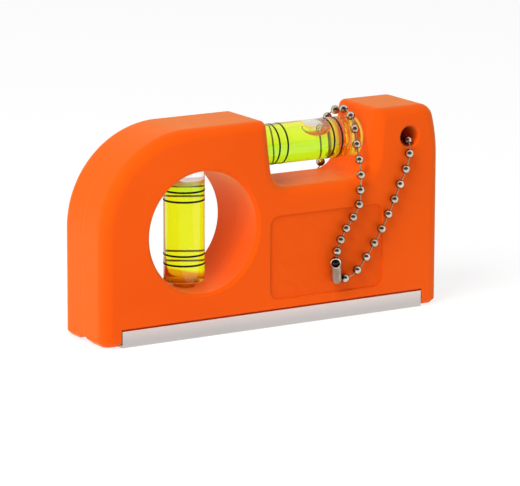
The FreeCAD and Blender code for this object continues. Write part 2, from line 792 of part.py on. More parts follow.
def ball_chain(sleeve):
    centres, route_length = bead_centres(sleeve)
    form, reach = bead_form()
    axes = []
    for index in range(len(centres)):
        before = centres[max(index - 1, 0)]
        after = centres[min(index + 1, len(centres) - 1)]
        axes.append((after - before).normalize())
    pieces = []
    for number, (centre, axis) in enumerate(zip(centres, axes), start=1):
        bead = add_solid("chain_bead_%02d" % number, form.copy())
        bead.Placement = FreeCAD.Placement(centre, FreeCAD.Rotation(FreeCAD.Vector(0, 0, 1), axis))
        pieces.append(bead)
    links = []
    for index in range(len(centres) - 1):
        start = centres[index] + axes[index] * reach
        end = centres[index + 1] - axes[index + 1] * reach
        links.append(link_form(start, axes[index], end, axes[index + 1]))
    pieces.append(add_solid("chain_links", Part.makeCompound(links)))
    print("chain: %d beads on a loop of %.1f mm" % (len(centres), route_length))
    return pieces


pieces = [front_half(), back_half(), base_rail()]
pieces += vial("level_vial", place_level, CAVITY_END, bubble_form())
pieces += vial("plumb_vial", place_plumb, CAVITY_END + " - dim.gas_layer")
pieces.append(chain_sleeve())
pieces += ball_chain(pieces[-1])
doc.recompute()

for thing in doc.Objects:
    if "Invalid" in thing.State or "Error" in thing.State:
        raise RuntimeError("%s did not build: %s" % (thing.Label, thing.State))
for piece in pieces:
    if piece.Shape.isNull() or not piece.Shape.isValid():
        raise RuntimeError("%s has no valid shape" % piece.Label)

os.makedirs("parts", exist_ok=True)
for piece in pieces:
    piece.Shape.exportStep("parts/%s.step" % piece.Label)
    print("%-20s %d solids, %9.2f mm3" % (piece.Label, len(piece.Shape.Solids), piece.Shape.Volume))
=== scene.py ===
import math
import bpy
from mathutils import Matrix, Vector


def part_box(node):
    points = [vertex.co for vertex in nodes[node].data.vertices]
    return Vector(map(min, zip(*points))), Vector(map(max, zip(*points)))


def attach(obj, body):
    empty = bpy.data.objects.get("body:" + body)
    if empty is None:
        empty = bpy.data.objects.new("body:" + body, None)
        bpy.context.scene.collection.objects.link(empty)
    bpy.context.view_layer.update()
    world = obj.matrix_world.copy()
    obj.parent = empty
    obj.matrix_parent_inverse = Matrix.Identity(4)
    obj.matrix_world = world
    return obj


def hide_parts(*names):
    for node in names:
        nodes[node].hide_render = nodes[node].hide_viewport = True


# Hanging chain level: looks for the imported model. Metres, in the part's own frame.

MM = 0.001
ALONG = Vector((1, 0, 0))
UP = Vector((0, 0, 1))

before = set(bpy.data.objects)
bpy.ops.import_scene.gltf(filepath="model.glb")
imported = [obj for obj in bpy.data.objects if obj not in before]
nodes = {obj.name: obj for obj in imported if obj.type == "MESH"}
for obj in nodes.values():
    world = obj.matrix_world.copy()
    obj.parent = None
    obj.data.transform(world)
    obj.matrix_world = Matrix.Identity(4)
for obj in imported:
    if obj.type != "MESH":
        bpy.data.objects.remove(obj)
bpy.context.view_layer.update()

BEADS = sorted(name for name in nodes if name.startswith("chain_bead_"))

# Vial sizes, from each vial's middle along its own axis
VIAL_RADIUS = 5.35 * MM
VIAL_BLIND = 16.1 * MM
VIAL_PLUG = -14.3 * MM
VIAL_RIM = 0.4 * MM
SPIGOT_RADIUS = 2.75 * MM
SPIGOT_LENGTH = 4.4 * MM
CAVITY_RADIUS = 4.15 * MM
CAVITY_START = -13.6 * MM
CAVITY_END = 12.2 * MM
LIQUID_GAP = 0.02 * MM

# Ring lines of the vials, flat on top and thinner at their edges
LINE_PLACES = (-9.6 * MM, -7.1 * MM, 7.1 * MM, 9.6 * MM)
LINE_HALF = 0.26 * MM
LINE_FLAT_HALF = 0.8 * LINE_HALF
LINE_RELIEF = 0.05 * MM
LINE_EDGE_RELIEF = 0.01 * MM

# Bubble of the level vial, and the gas above the plumb vial's liquid
BUBBLE_SHIFT = 3.9 * MM
BUBBLE_HALF_LENGTH = 4.3 * MM
BUBBLE_HALF_WIDTH = 2.9 * MM
BUBBLE_HALF_DEPTH = 1.75 * MM
GAS_LAYER = 1.1 * MM

# Chain and its sleeve
BEAD_RADIUS = 1.175 * MM
DIMPLE_PLACE = 0.86 * BEAD_RADIUS
DIMPLE_RADIUS = 0.34 * MM
DIMPLE_MOUTH_RADIUS = 0.42 * MM
LINK_START = 0.8 * BEAD_RADIUS
LINK_RADIUS = 0.21 * MM
SLEEVE_RADIUS = 1.37 * MM
SLEEVE_TURN = math.radians(-31)
PORT_RING_RADIUS = 1.22 * MM
PORT_RING_HALF = 0.17 * MM

# Painted contact shade on metal: how near other pieces are that count, and the openness from full painted
# shade to none
CONTACT_SHADE_REACH = 3 * MM
CONTACT_SHADE_OPENNESS = (0.6, 0.9)

# Corners of the recessed panel's face, and of the line where the body's halves meet
PANEL_LOW = (-1.7 * MM, -10.36 * MM, 7.0 * MM)
PANEL_HIGH = (33.0 * MM, -10.25 * MM, 29.4 * MM)
SEAM_LOW = (-1, -0.05 * MM, -1)
SEAM_HIGH = (1, 0.05 * MM, 1)

# Refraction; the liquids' and gases' faces look inward, so theirs is outside against inside
ACRYLIC = 1.49
SPIRIT = 1.36
ACRYLIC_ON_SPIRIT = 1.095

# Colours; a pair holds the two ends of a mottled tone
WHITE = (1, 1, 1)
BODY_TONES = ((0.88, 0.089, 0.002), (0.92, 0.100, 0.003))
PANEL_TONES = ((0.85, 0.085, 0.002), (0.89, 0.095, 0.003))
SEAM_TONE = (0.80, 0.080, 0.002)
BODY_SHEEN = (0.75, 0.68, 0.12)
PAINT_TONES = ((0.004, 0.006, 0.004), (0.010, 0.014, 0.009))
BEAD_TONES = ((0.50, 0.41, 0.31), (0.78, 0.69, 0.58))
# Painted reflection: a dark brown glancing tint on the beads' rims stands for the shaded body they mirror
BEAD_RIM_SHADE = (0.10, 0.06, 0.035)
# Painted shade: the beads' colour where other pieces are close, for the shade that falls there
BEAD_CONTACT_SHADE = (0.10, 0.045, 0.02)
# Painted shade: a darker copy of the bead nickel for the bead that sits in the sleeve's shade
SHADED_TONES = ((0.03, 0.022, 0.015), (0.08, 0.06, 0.045))
# Painted highlight: a much lighter copy of the sleeve's nickel for the bright rim of its port
RIM_HIGHLIGHT_TONES = ((0.86, 0.77, 0.66), (0.96, 0.90, 0.82))
WIRE_TONES = ((0.46, 0.33, 0.22), (0.66, 0.52, 0.38))
SLEEVE_TONES = ((0.40, 0.29, 0.23), (0.56, 0.42, 0.35))
GAS_TONES = ((0.97, 0.97, 0.97), (0.99, 0.99, 0.99))
# Painted light: the lime of the gas against the plumb vial's wall, made mostly opaque, stands for the
# bright band light shows there
WALL_GAS_PAINTED_TONES = ((0.68, 0.95, 0.16), (0.74, 0.98, 0.22))
FLOOR_TONES = ((0.79, 0.79, 0.79), (0.81, 0.81, 0.81))
YELLOW = (0.92, 0.98, 0.012)
SWIRL_YELLOW = (0.80, 0.86, 0.01)
LIME = (0.66, 0.95, 0.014)
LOW_LIME = (0.62, 0.96, 0.016)
OLIVE = (0.50, 0.52, 0.03)
AMBER = (0.85, 0.38, 0.006)
AMBER_CLEAR = (0.80, 0.42, 0.02)
HONEY = (0.95, 0.80, 0.18)
PALE = (0.975, 0.975, 0.95)

# The rail's tone at millimetres above its foot: painted light and shade, a little warmer and lighter near
# the plastic and darker towards the foot
RAIL_PAINTED_SHADING = [
    (0.2, (0.60, 0.575, 0.56)),
    (1.4, (0.61, 0.585, 0.57)),
    (3.0, (0.72, 0.67, 0.65)),
    (4.4, (0.88, 0.73, 0.67)),
]
RAIL_MOTTLE = (0.70, 0.64, 0.63)

# Along the level vial, in millimetres from its middle: the spirit's colour, and the wall's tint and
# clearness
# Painted light: the spirit's yellow is its dye, but its olive band is a painted reflection of the ring
# line, and its amber end is the orange body seen through it, painted in
LEVEL_DYE_AND_PAINTED_LIGHT = [(-14, YELLOW), (8.4, YELLOW), (9.0, OLIVE), (9.8, OLIVE), (10.2, AMBER), (13, AMBER)]
# Painted light: the wall's amber and honey towards the blind end stand for the orange body seen through the
# end and the yellow light leaving it
LEVEL_WALL = [
    (-15, HONEY),
    (-13, PALE),
    (11, PALE),
    (12.2, AMBER_CLEAR),
    (14.8, AMBER_CLEAR),
    (15.4, HONEY),
    (21, HONEY),
]
LEVEL_CLEARNESS = [(-19, 0.6), (-14.3, 0.6), (-13.9, 1.0), (15.3, 1.0), (15.7, 0.75), (21, 0.75)]

# The same along the plumb vial; its dye's colours lie aslant
PLUMB_DYE = [(-15, AMBER), (-11.7, AMBER), (-11.2, YELLOW), (7, YELLOW), (9.6, LIME), (13, LIME)]
PLUMB_DYE_WAY = Vector((0.24, 0, 1))
# Painted light: the wall's amber at the foot covers the shaded seat that shows through it
PLUMB_WALL = [(-19, AMBER_CLEAR), (-13.6, AMBER_CLEAR), (-12.8, PALE), (21, PALE)]
PLUMB_CLEARNESS = [(-19, 0.8), (-14.2, 0.8), (-13.9, 1.0), (21, 1.0)]

# The level vial's limy lower half, as corners in millimetres from the vial's middle
LOW_HALF = ((-20, -6, -6), (8.6, 6, 0.9))

# Painted reflections in the bubble, as ovals round its top: half length, half height and tint; the amber
# one mirrors the orange notch floor, the pale one is its bright face
BUBBLE_PAINTED_REFLECTIONS = (
    (4.0 * MM, 3.6 * MM, (0.92, 0.62, 0.04)),
    (3.8 * MM, 1.5 * MM, (0.80, 0.79, 0.73)),
)

# The photograph's frame in pixels, and its camera; the sensor's width is in millimetres
PHOTO_WIDTH = 520
PHOTO_HEIGHT = 486
FOCAL_PIXELS = 3578.4
CENTRE_ACROSS = 254.53
CENTRE_DOWN = 217.57
SENSOR = 36
AZIMUTH = math.radians(-31.266)
ELEVATION = math.radians(12.114)
ROLL = math.radians(0.198)
TARGET = Vector((0, 0, 27 * MM))
DISTANCE = 930 * MM
TOWARDS_CAMERA = Vector((
    math.sin(AZIMUTH) * math.cos(ELEVATION),
    -math.cos(AZIMUTH) * math.cos(ELEVATION),
    math.sin(ELEVATION),
))

# Studio: strengths of light, and the darker room and floor that shiny metal sees. Facing runs from -1 to
# 1 for ways from the object, with 1 towards the camera; the floor's far range is in metres from its middle.
AMBIENT = 0.43
KEY_WATTS = 9.8
SIDE_WATTS = 2.8
LIT_TARGET = (0, 0, 0.03)
ROOM_FACING = (0.35, 0.65)
ROOM_STRENGTH = 0.06
FLOOR_HALF = 1.2
FLOOR_LIFT = 0.22
FLOOR_GLOW = 0.8
FLOOR_DIFFUSE = (0.25, 0.25, 0.25)
FLOOR_FACING = (0.6, 0.82)
FLOOR_FAR = (0.05, 0.1)
FLOOR_DARKENING = 0.9


# Node helpers; a source is a plain value or another node's output

def new_material(name):
    material = bpy.data.materials.new(name)
    material.use_nodes = True
    tree = material.node_tree
    return material, tree, tree.nodes["Principled BSDF"]


def feed(tree, target, inputs):
    """Sets inputs of a node, each by its name or number, from sources."""
    for key, source in inputs.items():
        entry = target.inputs[key]
        if isinstance(source, bpy.types.NodeSocket):
            tree.links.new(source, entry)
        elif entry.type == "RGBA":
            entry.default_value = tuple(source) + (1,)
        else:
            entry.default_value = source


def new_node(tree, kind, inputs):
    made = tree.nodes.new(kind)
    feed(tree, made, inputs)
    return made


def arithmetic(tree, operation, first, second):
    made = new_node(tree, "ShaderNodeMath", {0: first, 1: second})
    made.operation = operation
    return made.outputs[0]


def vector_math(tree, operation, first, second=(0, 0, 0)):
    made = new_node(tree, "ShaderNodeVectorMath", {0: first, 1: second})
    made.operation = operation
    return made.outputs["Value" if operation in ("DOT_PRODUCT", "LENGTH") else "Vector"]


def remap(tree, source, before, after):
    """Maps one range to another, and stays inside the second."""
    made = new_node(tree, "ShaderNodeMapRange", {
        "Value": source,
        "From Min": before[0],
        "From Max": before[1],
        "To Min": after[0],
        "To Max": after[1],
    })
    return made.outputs["Result"]


def place_in(tree, stretch=(1, 1, 1), shift=(0, 0, 0)):
    """The object's own coordinates, stretched and shifted."""
    where = tree.nodes.new("ShaderNodeTexCoord").outputs["Object"]
    made = new_node(tree, "ShaderNodeMapping", {"Vector": where, "Scale": stretch, "Location": shift})
    return made.outputs["Vector"]


def noise(tree, place, scale, detail, roughness=0.5):
    made = new_node(tree, "ShaderNodeTexNoise", {
        "Vector": place,
        "Scale": scale,
        "Detail": detail,
        "Roughness": roughness,
    })
    return made.outputs["Fac"]


def ramp(tree, source, stops):
    """A colour that follows one output; stops are pairs of place and colour."""
    made = new_node(tree, "ShaderNodeValToRGB", {"Fac": source})
    points = made.color_ramp.elements
    while len(points) < len(stops):
        points.new(0.5)
    for point, (place, colour) in zip(points, stops):
        point.position = place
        point.color = tuple(colour) + (1,)
    return made.outputs["Color"]


def mottled(tree, source, tones, reach=0.2):
    """The change from one tone to another while the source is within reach of one half."""
    return ramp(tree, source, [(0.5 - reach, tones[0]), (0.5 + reach, tones[1])])


def along_line(tree, place, origin, way, stops):
    """A colour that changes along a line; stops are pairs of millimetres from the origin and colour."""
    start = stops[0][0]
    last = stops[-1][0]
    base = origin.dot(way)
    run = vector_math(tree, "DOT_PRODUCT", place, way)
    share = remap(tree, run, (base + start * MM, base + last * MM), (0, 1))
    return ramp(tree, share, [((at - start) / (last - start), tint) for at, tint in stops])


def blend_colours(tree, mask, first, second):
    """One colour where the mask is 0 and another where it is 1."""
    made = tree.nodes.new("ShaderNodeMix")
    made.data_type = "RGBA"
    feed(tree, made, {0: mask, 6: first, 7: second})
    return made.outputs[2]


def mix_shaders(tree, mask, first, second):
    """One shader where the mask is 0 and another where it is 1."""
    return new_node(tree, "ShaderNodeMixShader", {0: mask, 1: first, 2: second}).outputs[0]


def inside_box(tree, low, high):
    """1 inside a box given by two corners, and 0 outside it."""
    half = [(b - a) / 2 for a, b in zip(low, high)]
    middle = [(a + b) / 2 for a, b in zip(low, high)]
    place = place_in(tree, [1 / h for h in half], [-m / h for m, h in zip(middle, half)])
    parts = new_node(tree, "ShaderNodeSeparateXYZ", {0: vector_math(tree, "ABSOLUTE", place)}).outputs
    wider = arithmetic(tree, "MAXIMUM", parts["X"], parts["Y"])
    widest = arithmetic(tree, "MAXIMUM", wider, parts["Z"])
    return arithmetic(tree, "LESS_THAN", widest, 1)


def inside_oval(tree, middle, half_length, half_height, soft=0.1):
    """1 inside an oval that runs right through the part along Y, and 0 outside it."""
    stretch = (1 / half_length, 0, 1 / half_height)
    shift = (-middle.x / half_length, 0, -middle.z / half_height)
    away = vector_math(tree, "LENGTH", place_in(tree, stretch, shift))
    return remap(tree, away, (1 - soft, 1), (1, 0))


def relief(tree, height, strength, distance, under=None):
    """The normal of a bump, on top of another normal where there is one."""
    made = new_node(tree, "ShaderNodeBump", {"Height": height, "Strength": strength, "Distance": distance})
    if under is not None:
        feed(tree, made, {"Normal": under})
    return made.outputs["Normal"]


def is_ray(tree, *kinds):
    """1 for rays of any of these kinds, and 0 for the others."""
    path = tree.nodes.new("ShaderNodeLightPath").outputs
    found = path[kinds[0]]
    for kind in kinds[1:]:
        found = arithmetic(tree, "MAXIMUM", found, path[kind])
    return found


# Materials

def orange_plastic():
    """Moulded plastic, faintly mottled, with the recessed panel a little darker and the line where the
    halves meet.
    """
    material, tree, shader = new_material("orange_plastic")
    place = place_in(tree)
    broad = noise(tree, place, scale=28, detail=2)
    fine = noise(tree, place, scale=2600, detail=4, roughness=0.6)
    wear = noise(tree, place, scale=420, detail=6, roughness=0.7)
    panel = inside_box(tree, PANEL_LOW, PANEL_HIGH)
    tone = blend_colours(tree, panel, mottled(tree, broad, BODY_TONES), mottled(tree, wear, PANEL_TONES))
    seam = inside_box(tree, SEAM_LOW, SEAM_HIGH)
    soft_edges = new_node(tree, "ShaderNodeBevel", {"Radius": 0.3 * MM})
    soft_edges.samples = 6
    feed(tree, shader, {
        "Base Color": blend_colours(tree, seam, tone, SEAM_TONE),
        "Roughness": remap(tree, wear, (0, 1), (0.38, 0.52)),
        "IOR": 1.5,
        "Specular IOR Level": 0.06,
        "Sheen Weight": 0.5,
        "Sheen Roughness": 0.45,
        "Sheen Tint": BODY_SHEEN,
        "Normal": relief(tree, fine, 0.2, 0.02 * MM, under=soft_edges.outputs["Normal"]),
    })
    return material


def satin_aluminium():
    """Extruded aluminium, with fine lines along it, and painted shading from its foot up to the plastic."""
    material, tree, shader = new_material("satin_aluminium")
    lines = noise(tree, place_in(tree, stretch=(0.03, 1, 1)), scale=9000, detail=3)
    broad = noise(tree, place_in(tree), scale=60, detail=2)
    # Painted light and shade: the tone changes with height on the rail
    tone = along_line(tree, place_in(tree), Vector(), UP, RAIL_PAINTED_SHADING)
    feed(tree, shader, {
        "Base Color": blend_colours(tree, remap(tree, broad, (0, 1), (0, 0.2)), tone, RAIL_MOTTLE),
        "Metallic": 1.0,
        "Roughness": remap(tree, lines, (0, 1), (0.3, 0.5)),
        "Normal": relief(tree, lines, 0.12, 0.01 * MM),
    })
    return material


def nickel(name, tones, gloss, edge=WHITE, contact_shade=None):
    """Plated metal; edge tints it at a glancing angle, and painted shade darkens it where other pieces are
    close.
    """
    material, tree, shader = new_material(name)
    tarnish = noise(tree, place_in(tree), scale=900, detail=5, roughness=0.65)
    colour = mottled(tree, tarnish, tones, reach=0.15)
    if contact_shade:
        # Painted shade: where ambient occlusion finds other pieces close, the colour turns to the contact
        # shade
        open_air = new_node(tree, "ShaderNodeAmbientOcclusion", {"Distance": CONTACT_SHADE_REACH})
        open_air.samples = 8
        unshaded = remap(tree, open_air.outputs["AO"], CONTACT_SHADE_OPENNESS, (0, 1))
        colour = blend_colours(tree, unshaded, contact_shade, colour)
    feed(tree, shader, {
        "Base Color": colour,
        "Specular Tint": edge,
        "Metallic": 1.0,
        "Roughness": remap(tree, tarnish, (0, 1), gloss),
        "Normal": relief(tree, tarnish, 0.1, 0.02 * MM),
    })
    return material


def black_paint():
    """The ring lines' matt paint."""
    material, tree, shader = new_material("black_paint")
    grain = noise(tree, place_in(tree), scale=3000, detail=3)
    feed(tree, shader, {
        "Base Color": mottled(tree, grain, PAINT_TONES),
        "Roughness": 0.6,
        "Specular IOR Level": 0.2,
        "Normal": relief(tree, grain, 0.2, 0.01 * MM),
    })
    return material


def trapped_gas(name, refraction, tones, clearness=1.0):
    """Gas against the spirit or the vial's wall, tinted a little unevenly; where its clearness is low, its
    tint is painted light.
    """
    material, tree, shader = new_material(name)
    swirl = noise(tree, place_in(tree), scale=140, detail=2)
    feed(tree, shader, {
        "Base Color": mottled(tree, swirl, tones, reach=0.15),
        "Roughness": 0.0,
        "IOR": refraction,
        "Transmission Weight": clearness,
    })
    return material


def dyed_spirit(name, origin, way, stops, lime_box=None, painted_reflections=()):
    """The fluorescent spirit: its colours along the vial, and painted reflections in ovals round the top of
    a bubble.
    """
    material, tree, shader = new_material(name)
    place = place_in(tree)
    swirl = noise(tree, place, scale=140, detail=2)
    colour = along_line(tree, place, origin, way, stops)
    if lime_box:
        colour = blend_colours(tree, inside_box(tree, *lime_box), colour, LOW_LIME)
    # Painted reflection: each oval of tint round the bubble's top
    for middle, half_length, half_height, tint in painted_reflections:
        colour = blend_colours(tree, inside_oval(tree, middle, half_length, half_height), colour, tint)
    feed(tree, shader, {
        "Base Color": blend_colours(tree, remap(tree, swirl, (0, 1), (0, 0.08)), colour, SWIRL_YELLOW),
        "Roughness": 0.0,
        "IOR": ACRYLIC_ON_SPIRIT,
        "Transmission Weight": 0.9,
    })
    return material


def clear_acrylic(name, origin, way, tints, clearness):
    """Clear acrylic, tinted towards its ends, partly with painted light for what shows through them; its
    ends are sawn and less clear.
    """
    material, tree, shader = new_material(name)
    place = place_in(tree)
    shares = [(at, (share, share, share)) for at, share in clearness]
    feed(tree, shader, {
        "Base Color": along_line(tree, place, origin, way, tints),
        "Roughness": 0.0,
        "IOR": ACRYLIC,
        "Transmission Weight": along_line(tree, place, origin, way, shares),
    })
    return material


ORANGE = orange_plastic()
ALUMINIUM = satin_aluminium()
BRIGHT = nickel("bright_nickel", BEAD_TONES, (0.06, 0.16), BEAD_RIM_SHADE, BEAD_CONTACT_SHADE)
RIM = nickel("rim_highlight_nickel", RIM_HIGHLIGHT_TONES, (0.2, 0.35))
SHADED = nickel("shaded_nickel", SHADED_TONES, (0.15, 0.3))
WIRE = nickel("tarnished_nickel", WIRE_TONES, (0.35, 0.5))
DULL = nickel("dull_nickel", SLEEVE_TONES, (0.4, 0.55))
BLACK = black_paint()
GAS = trapped_gas("gas_in_spirit", SPIRIT, GAS_TONES)
GAS_ON_WALL = trapped_gas("gas_on_acrylic", ACRYLIC, WALL_GAS_PAINTED_TONES, clearness=0.25)


# Mesh helpers

def piece_from(name, vertices, faces, material, clear=False):
    """A smooth piece made from a mesh; light falls through a clear one."""
    mesh = bpy.data.meshes.new(name)
    mesh.from_pydata([tuple(v) for v in vertices], [], faces)
    mesh.validate()
    mesh.update()
    for polygon in mesh.polygons:
        polygon.use_smooth = True
    mesh.materials.append(material)
    made = bpy.data.objects.new(name, mesh)
    bpy.context.scene.collection.objects.link(made)
    made.visible_shadow = not clear
    made.visible_diffuse = not clear
    return made


def sharpen(piece, degrees=35):
    """Keeps the shading sharp over edges that turn by more than this angle."""
    mesh = piece.data
    limit = math.radians(degrees)
    normals = {}
    for polygon in mesh.polygons:
        for key in polygon.edge_keys:
            normals.setdefault(key, []).append(polygon.normal)
    for edge in mesh.edges:
        around = normals.get(edge.key, [])
        if len(around) == 2 and around[0].angle(around[1], 0) > limit:
            edge.use_edge_sharp = True


def circle(count):
    """Cosine and sine of each of count even steps round a circle."""
    angles = [2 * math.pi * step / count for step in range(count)]
    return [(math.cos(angle), math.sin(angle)) for angle in angles]


def rounded_rim(x, radius, rim, turned, steps=6):
    """Profile points round an end's edge; turned is -1 for the low end and 1 for the high end."""
    points = []
    for step in range(steps + 1):
        angle = math.pi / 2 * step / steps
        if turned < 0:
            points.append((x + rim - rim * math.cos(angle), radius - rim + rim * math.sin(angle)))
        else:
            points.append((x - rim + rim * math.sin(angle), radius - rim + rim * math.cos(angle)))
    return points


def lathe(profile, sides=72, inward=False):
    """Vertices and faces of a form turned about X; its profile goes from axis to axis, to higher X."""
    vertices = [(profile[0][0], 0, 0)]
    for x, radius in profile[1:-1]:
        vertices += [(x, radius * cosine, radius * sine) for cosine, sine in circle(sides)]
    vertices.append((profile[-1][0], 0, 0))
    last = len(vertices) - 1
    last_ring = last - sides
    faces = []
    for side in range(sides):
        after = (side + 1) % sides
        faces.append((0, 1 + after, 1 + side))
        for low in range(1, last_ring, sides):
            high = low + sides
            faces.append((low + side, low + after, high + after, high + side))
        faces.append((last, last_ring + side, last_ring + after))
    if inward:
        faces = [tuple(reversed(face)) for face in faces]
    return vertices, faces


def moved(vertices, place):
    return [place @ Vector(vertex) for vertex in vertices]


# Vials

def vial_place(name):
    """Where a vial's middle is, as a matrix that turns its own X along its length."""
    low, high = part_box(name + "_tube")
    if high.x - low.x > high.z - low.z:
        middle = Vector((high.x - SPIGOT_LENGTH - VIAL_BLIND, 0, (low.z + high.z) / 2))
        return Matrix.Translation(middle)
    middle = Vector(((low.x + high.x) / 2, 0, high.z - SPIGOT_LENGTH - VIAL_BLIND))
    return Matrix.Translation(middle) @ Matrix.Rotation(-math.pi / 2, 4, "Y")


def cavity_profile(start, end, steps=4):
    """The cavity's inside from start to end, with a hair's gap to its wall."""
    profile = [(start, 0)]
    for step in range(steps + 1):
        profile.append((start + (end - start) * step / steps, CAVITY_RADIUS - LIQUID_GAP))
    return profile + [(end, 0)]


def glass_profile():
    """Plug and barrel as one: spigot, rounded end, rounded end and spigot."""
    low_end = VIAL_PLUG - SPIGOT_LENGTH
    high_end = VIAL_BLIND + SPIGOT_LENGTH
    profile = [(low_end, 0), (low_end, SPIGOT_RADIUS), (VIAL_PLUG, SPIGOT_RADIUS)]
    profile += rounded_rim(VIAL_PLUG, VIAL_RADIUS, VIAL_RIM, -1)
    profile += rounded_rim(VIAL_BLIND, VIAL_RADIUS, VIAL_RIM, 1)
    return profile + [(VIAL_BLIND, SPIGOT_RADIUS), (high_end, SPIGOT_RADIUS), (high_end, 0)]


def make_lines(name, place, sides=96):
    """The ring lines, each a thin band of paint with softened edges."""
    section = (
        (-LINE_HALF, LINE_EDGE_RELIEF),
        (-LINE_FLAT_HALF, LINE_RELIEF),
        (LINE_FLAT_HALF, LINE_RELIEF),
        (LINE_HALF, LINE_EDGE_RELIEF),
    )
    vertices = []
    faces = []
    for middle in LINE_PLACES:
        base = len(vertices)
        for along, height in section:
            radius = VIAL_RADIUS + height
            for cosine, sine in circle(sides):
                vertices.append((middle + along, radius * cosine, radius * sine))
        for row in range(len(section)):
            low = base + row * sides
            high = base + (row + 1) % len(section) * sides
            for side in range(sides):
                after = (side + 1) % sides
                faces.append((low + side, low + after, high + after, high + side))
    lines = piece_from(name + "_rings", moved(vertices, place), faces, BLACK)
    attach(lines, "root")
    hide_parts(name + "_lines")


def make_vial(name, liquid_end, acrylic, spirit):
    place = vial_place(name)
    vertices, faces = lathe(glass_profile())
    glass = piece_from(name + "_glass", moved(vertices, place), faces, acrylic, clear=True)
    sharpen(glass)
    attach(glass, "root")
    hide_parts(name + "_tube", name + "_plug")
    vertices, faces = lathe(cavity_profile(CAVITY_START, liquid_end), inward=True)
    liquid = piece_from(name + "_spirit", moved(vertices, place), faces, spirit, clear=True)
    sharpen(liquid)
    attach(liquid, "root")
    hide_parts(name + "_liquid")
    make_lines(name, place)
    return place


def make_bubble(place, rings=24, sides=40):
    """A long bubble pressed against the top of the cavity."""
    centre = CAVITY_RADIUS - BUBBLE_HALF_DEPTH
    limit = CAVITY_RADIUS - 3 * LIQUID_GAP
    angles = [math.pi * ring / rings for ring in range(rings + 1)]
    profile = [(-math.cos(angle), math.sin(angle)) for angle in angles]
    vertices, faces = lathe(profile, sides, inward=True)
    shaped = []
    for x, y, z in vertices:
        along = BUBBLE_SHIFT + x * BUBBLE_HALF_LENGTH
        across = y * BUBBLE_HALF_WIDTH
        up = centre + z * BUBBLE_HALF_DEPTH
        reach = math.hypot(across, up)
        if reach > limit:
            across, up = across * limit / reach, up * limit / reach
        shaped.append((along, across, up))
    bubble = piece_from("level_vial_bubble", moved(shaped, place), faces, GAS, clear=True)
    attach(bubble, "root")


def make_gas(place):
    """The gas above the plumb vial's liquid."""
    start = CAVITY_END - GAS_LAYER + LIQUID_GAP
    vertices, faces = lathe(cavity_profile(start, CAVITY_END), inward=True)
    gas = piece_from("plumb_vial_gas", moved(vertices, place), faces, GAS_ON_WALL, clear=True)
    sharpen(gas)
    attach(gas, "root")


level_middle = vial_place("level_vial").translation
bubble_top = level_middle + Vector((BUBBLE_SHIFT, 0, CAVITY_RADIUS))
level_place = make_vial(
    "level_vial",
    CAVITY_END,
    clear_acrylic("level_acrylic", level_middle, ALONG, LEVEL_WALL, LEVEL_CLEARNESS),
    dyed_spirit(
        "level_spirit",
        level_middle,
        ALONG,
        LEVEL_DYE_AND_PAINTED_LIGHT,
        lime_box=[level_middle + Vector(corner) * MM for corner in LOW_HALF],
        painted_reflections=[(bubble_top, *oval) for oval in BUBBLE_PAINTED_REFLECTIONS],
    ),
)
make_bubble(level_place)

plumb_middle = vial_place("plumb_vial").translation
plumb_place = make_vial(
    "plumb_vial",
    CAVITY_END - GAS_LAYER,
    clear_acrylic("plumb_acrylic", plumb_middle, UP, PLUMB_WALL, PLUMB_CLEARNESS),
    dyed_spirit("plumb_spirit", plumb_middle, PLUMB_DYE_WAY, PLUMB_DYE),
)
make_gas(plumb_place)


# Chain

def bead_axes():
    """The middle of each bead and the way the chain runs through it."""
    middles = []
    for name in BEADS:
        low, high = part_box(name)
        middles.append((low + high) / 2)
    axes = []
    for index in range(len(middles)):
        before = middles[max(index - 1, 0)]
        after = middles[min(index + 1, len(middles) - 1)]
        axes.append((after - before).normalized())
    return middles, axes


def bead_profile(steps=18):
    """A ball with a small dimple at each end, where the link goes in."""
    start = math.asin(DIMPLE_MOUTH_RADIUS / BEAD_RADIUS)
    profile = [(-DIMPLE_PLACE, 0), (-DIMPLE_PLACE, DIMPLE_RADIUS)]
    for step in range(steps + 1):
        angle = start + (math.pi - 2 * start) * step / steps
        profile.append((-BEAD_RADIUS * math.cos(angle), BEAD_RADIUS * math.sin(angle)))
    return profile + [(DIMPLE_PLACE, DIMPLE_RADIUS), (DIMPLE_PLACE, 0)]


def make_beads():
    """All beads; the first one sits in the sleeve's port, and a darker copy of the nickel paints the shade
    it is in.
    """
    middles, axes = bead_axes()
    vertices, faces = lathe(bead_profile(), sides=28)
    for name, middle, axis in zip(BEADS, middles, axes):
        place = Matrix.Translation(middle) @ axis.to_track_quat("X", "Z").to_matrix().to_4x4()
        shine = SHADED if name == BEADS[0] else BRIGHT
        bead = piece_from(name + "_ball", moved(vertices, place), faces, shine)
        sharpen(bead, 50)
        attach(bead, "root")
        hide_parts(name)
    return middles, axes


def bent_point(start, start_way, end, end_way, share):
    """A point of the curve that leaves start and reaches end along the ways given there."""
    reach = (end - start).length / 3
    rest = 1 - share
    return (
        start * rest ** 3
        + (start + start_way * reach) * 3 * share * rest ** 2
        + (end - end_way * reach) * 3 * share * share * rest
        + end * share ** 3
    )


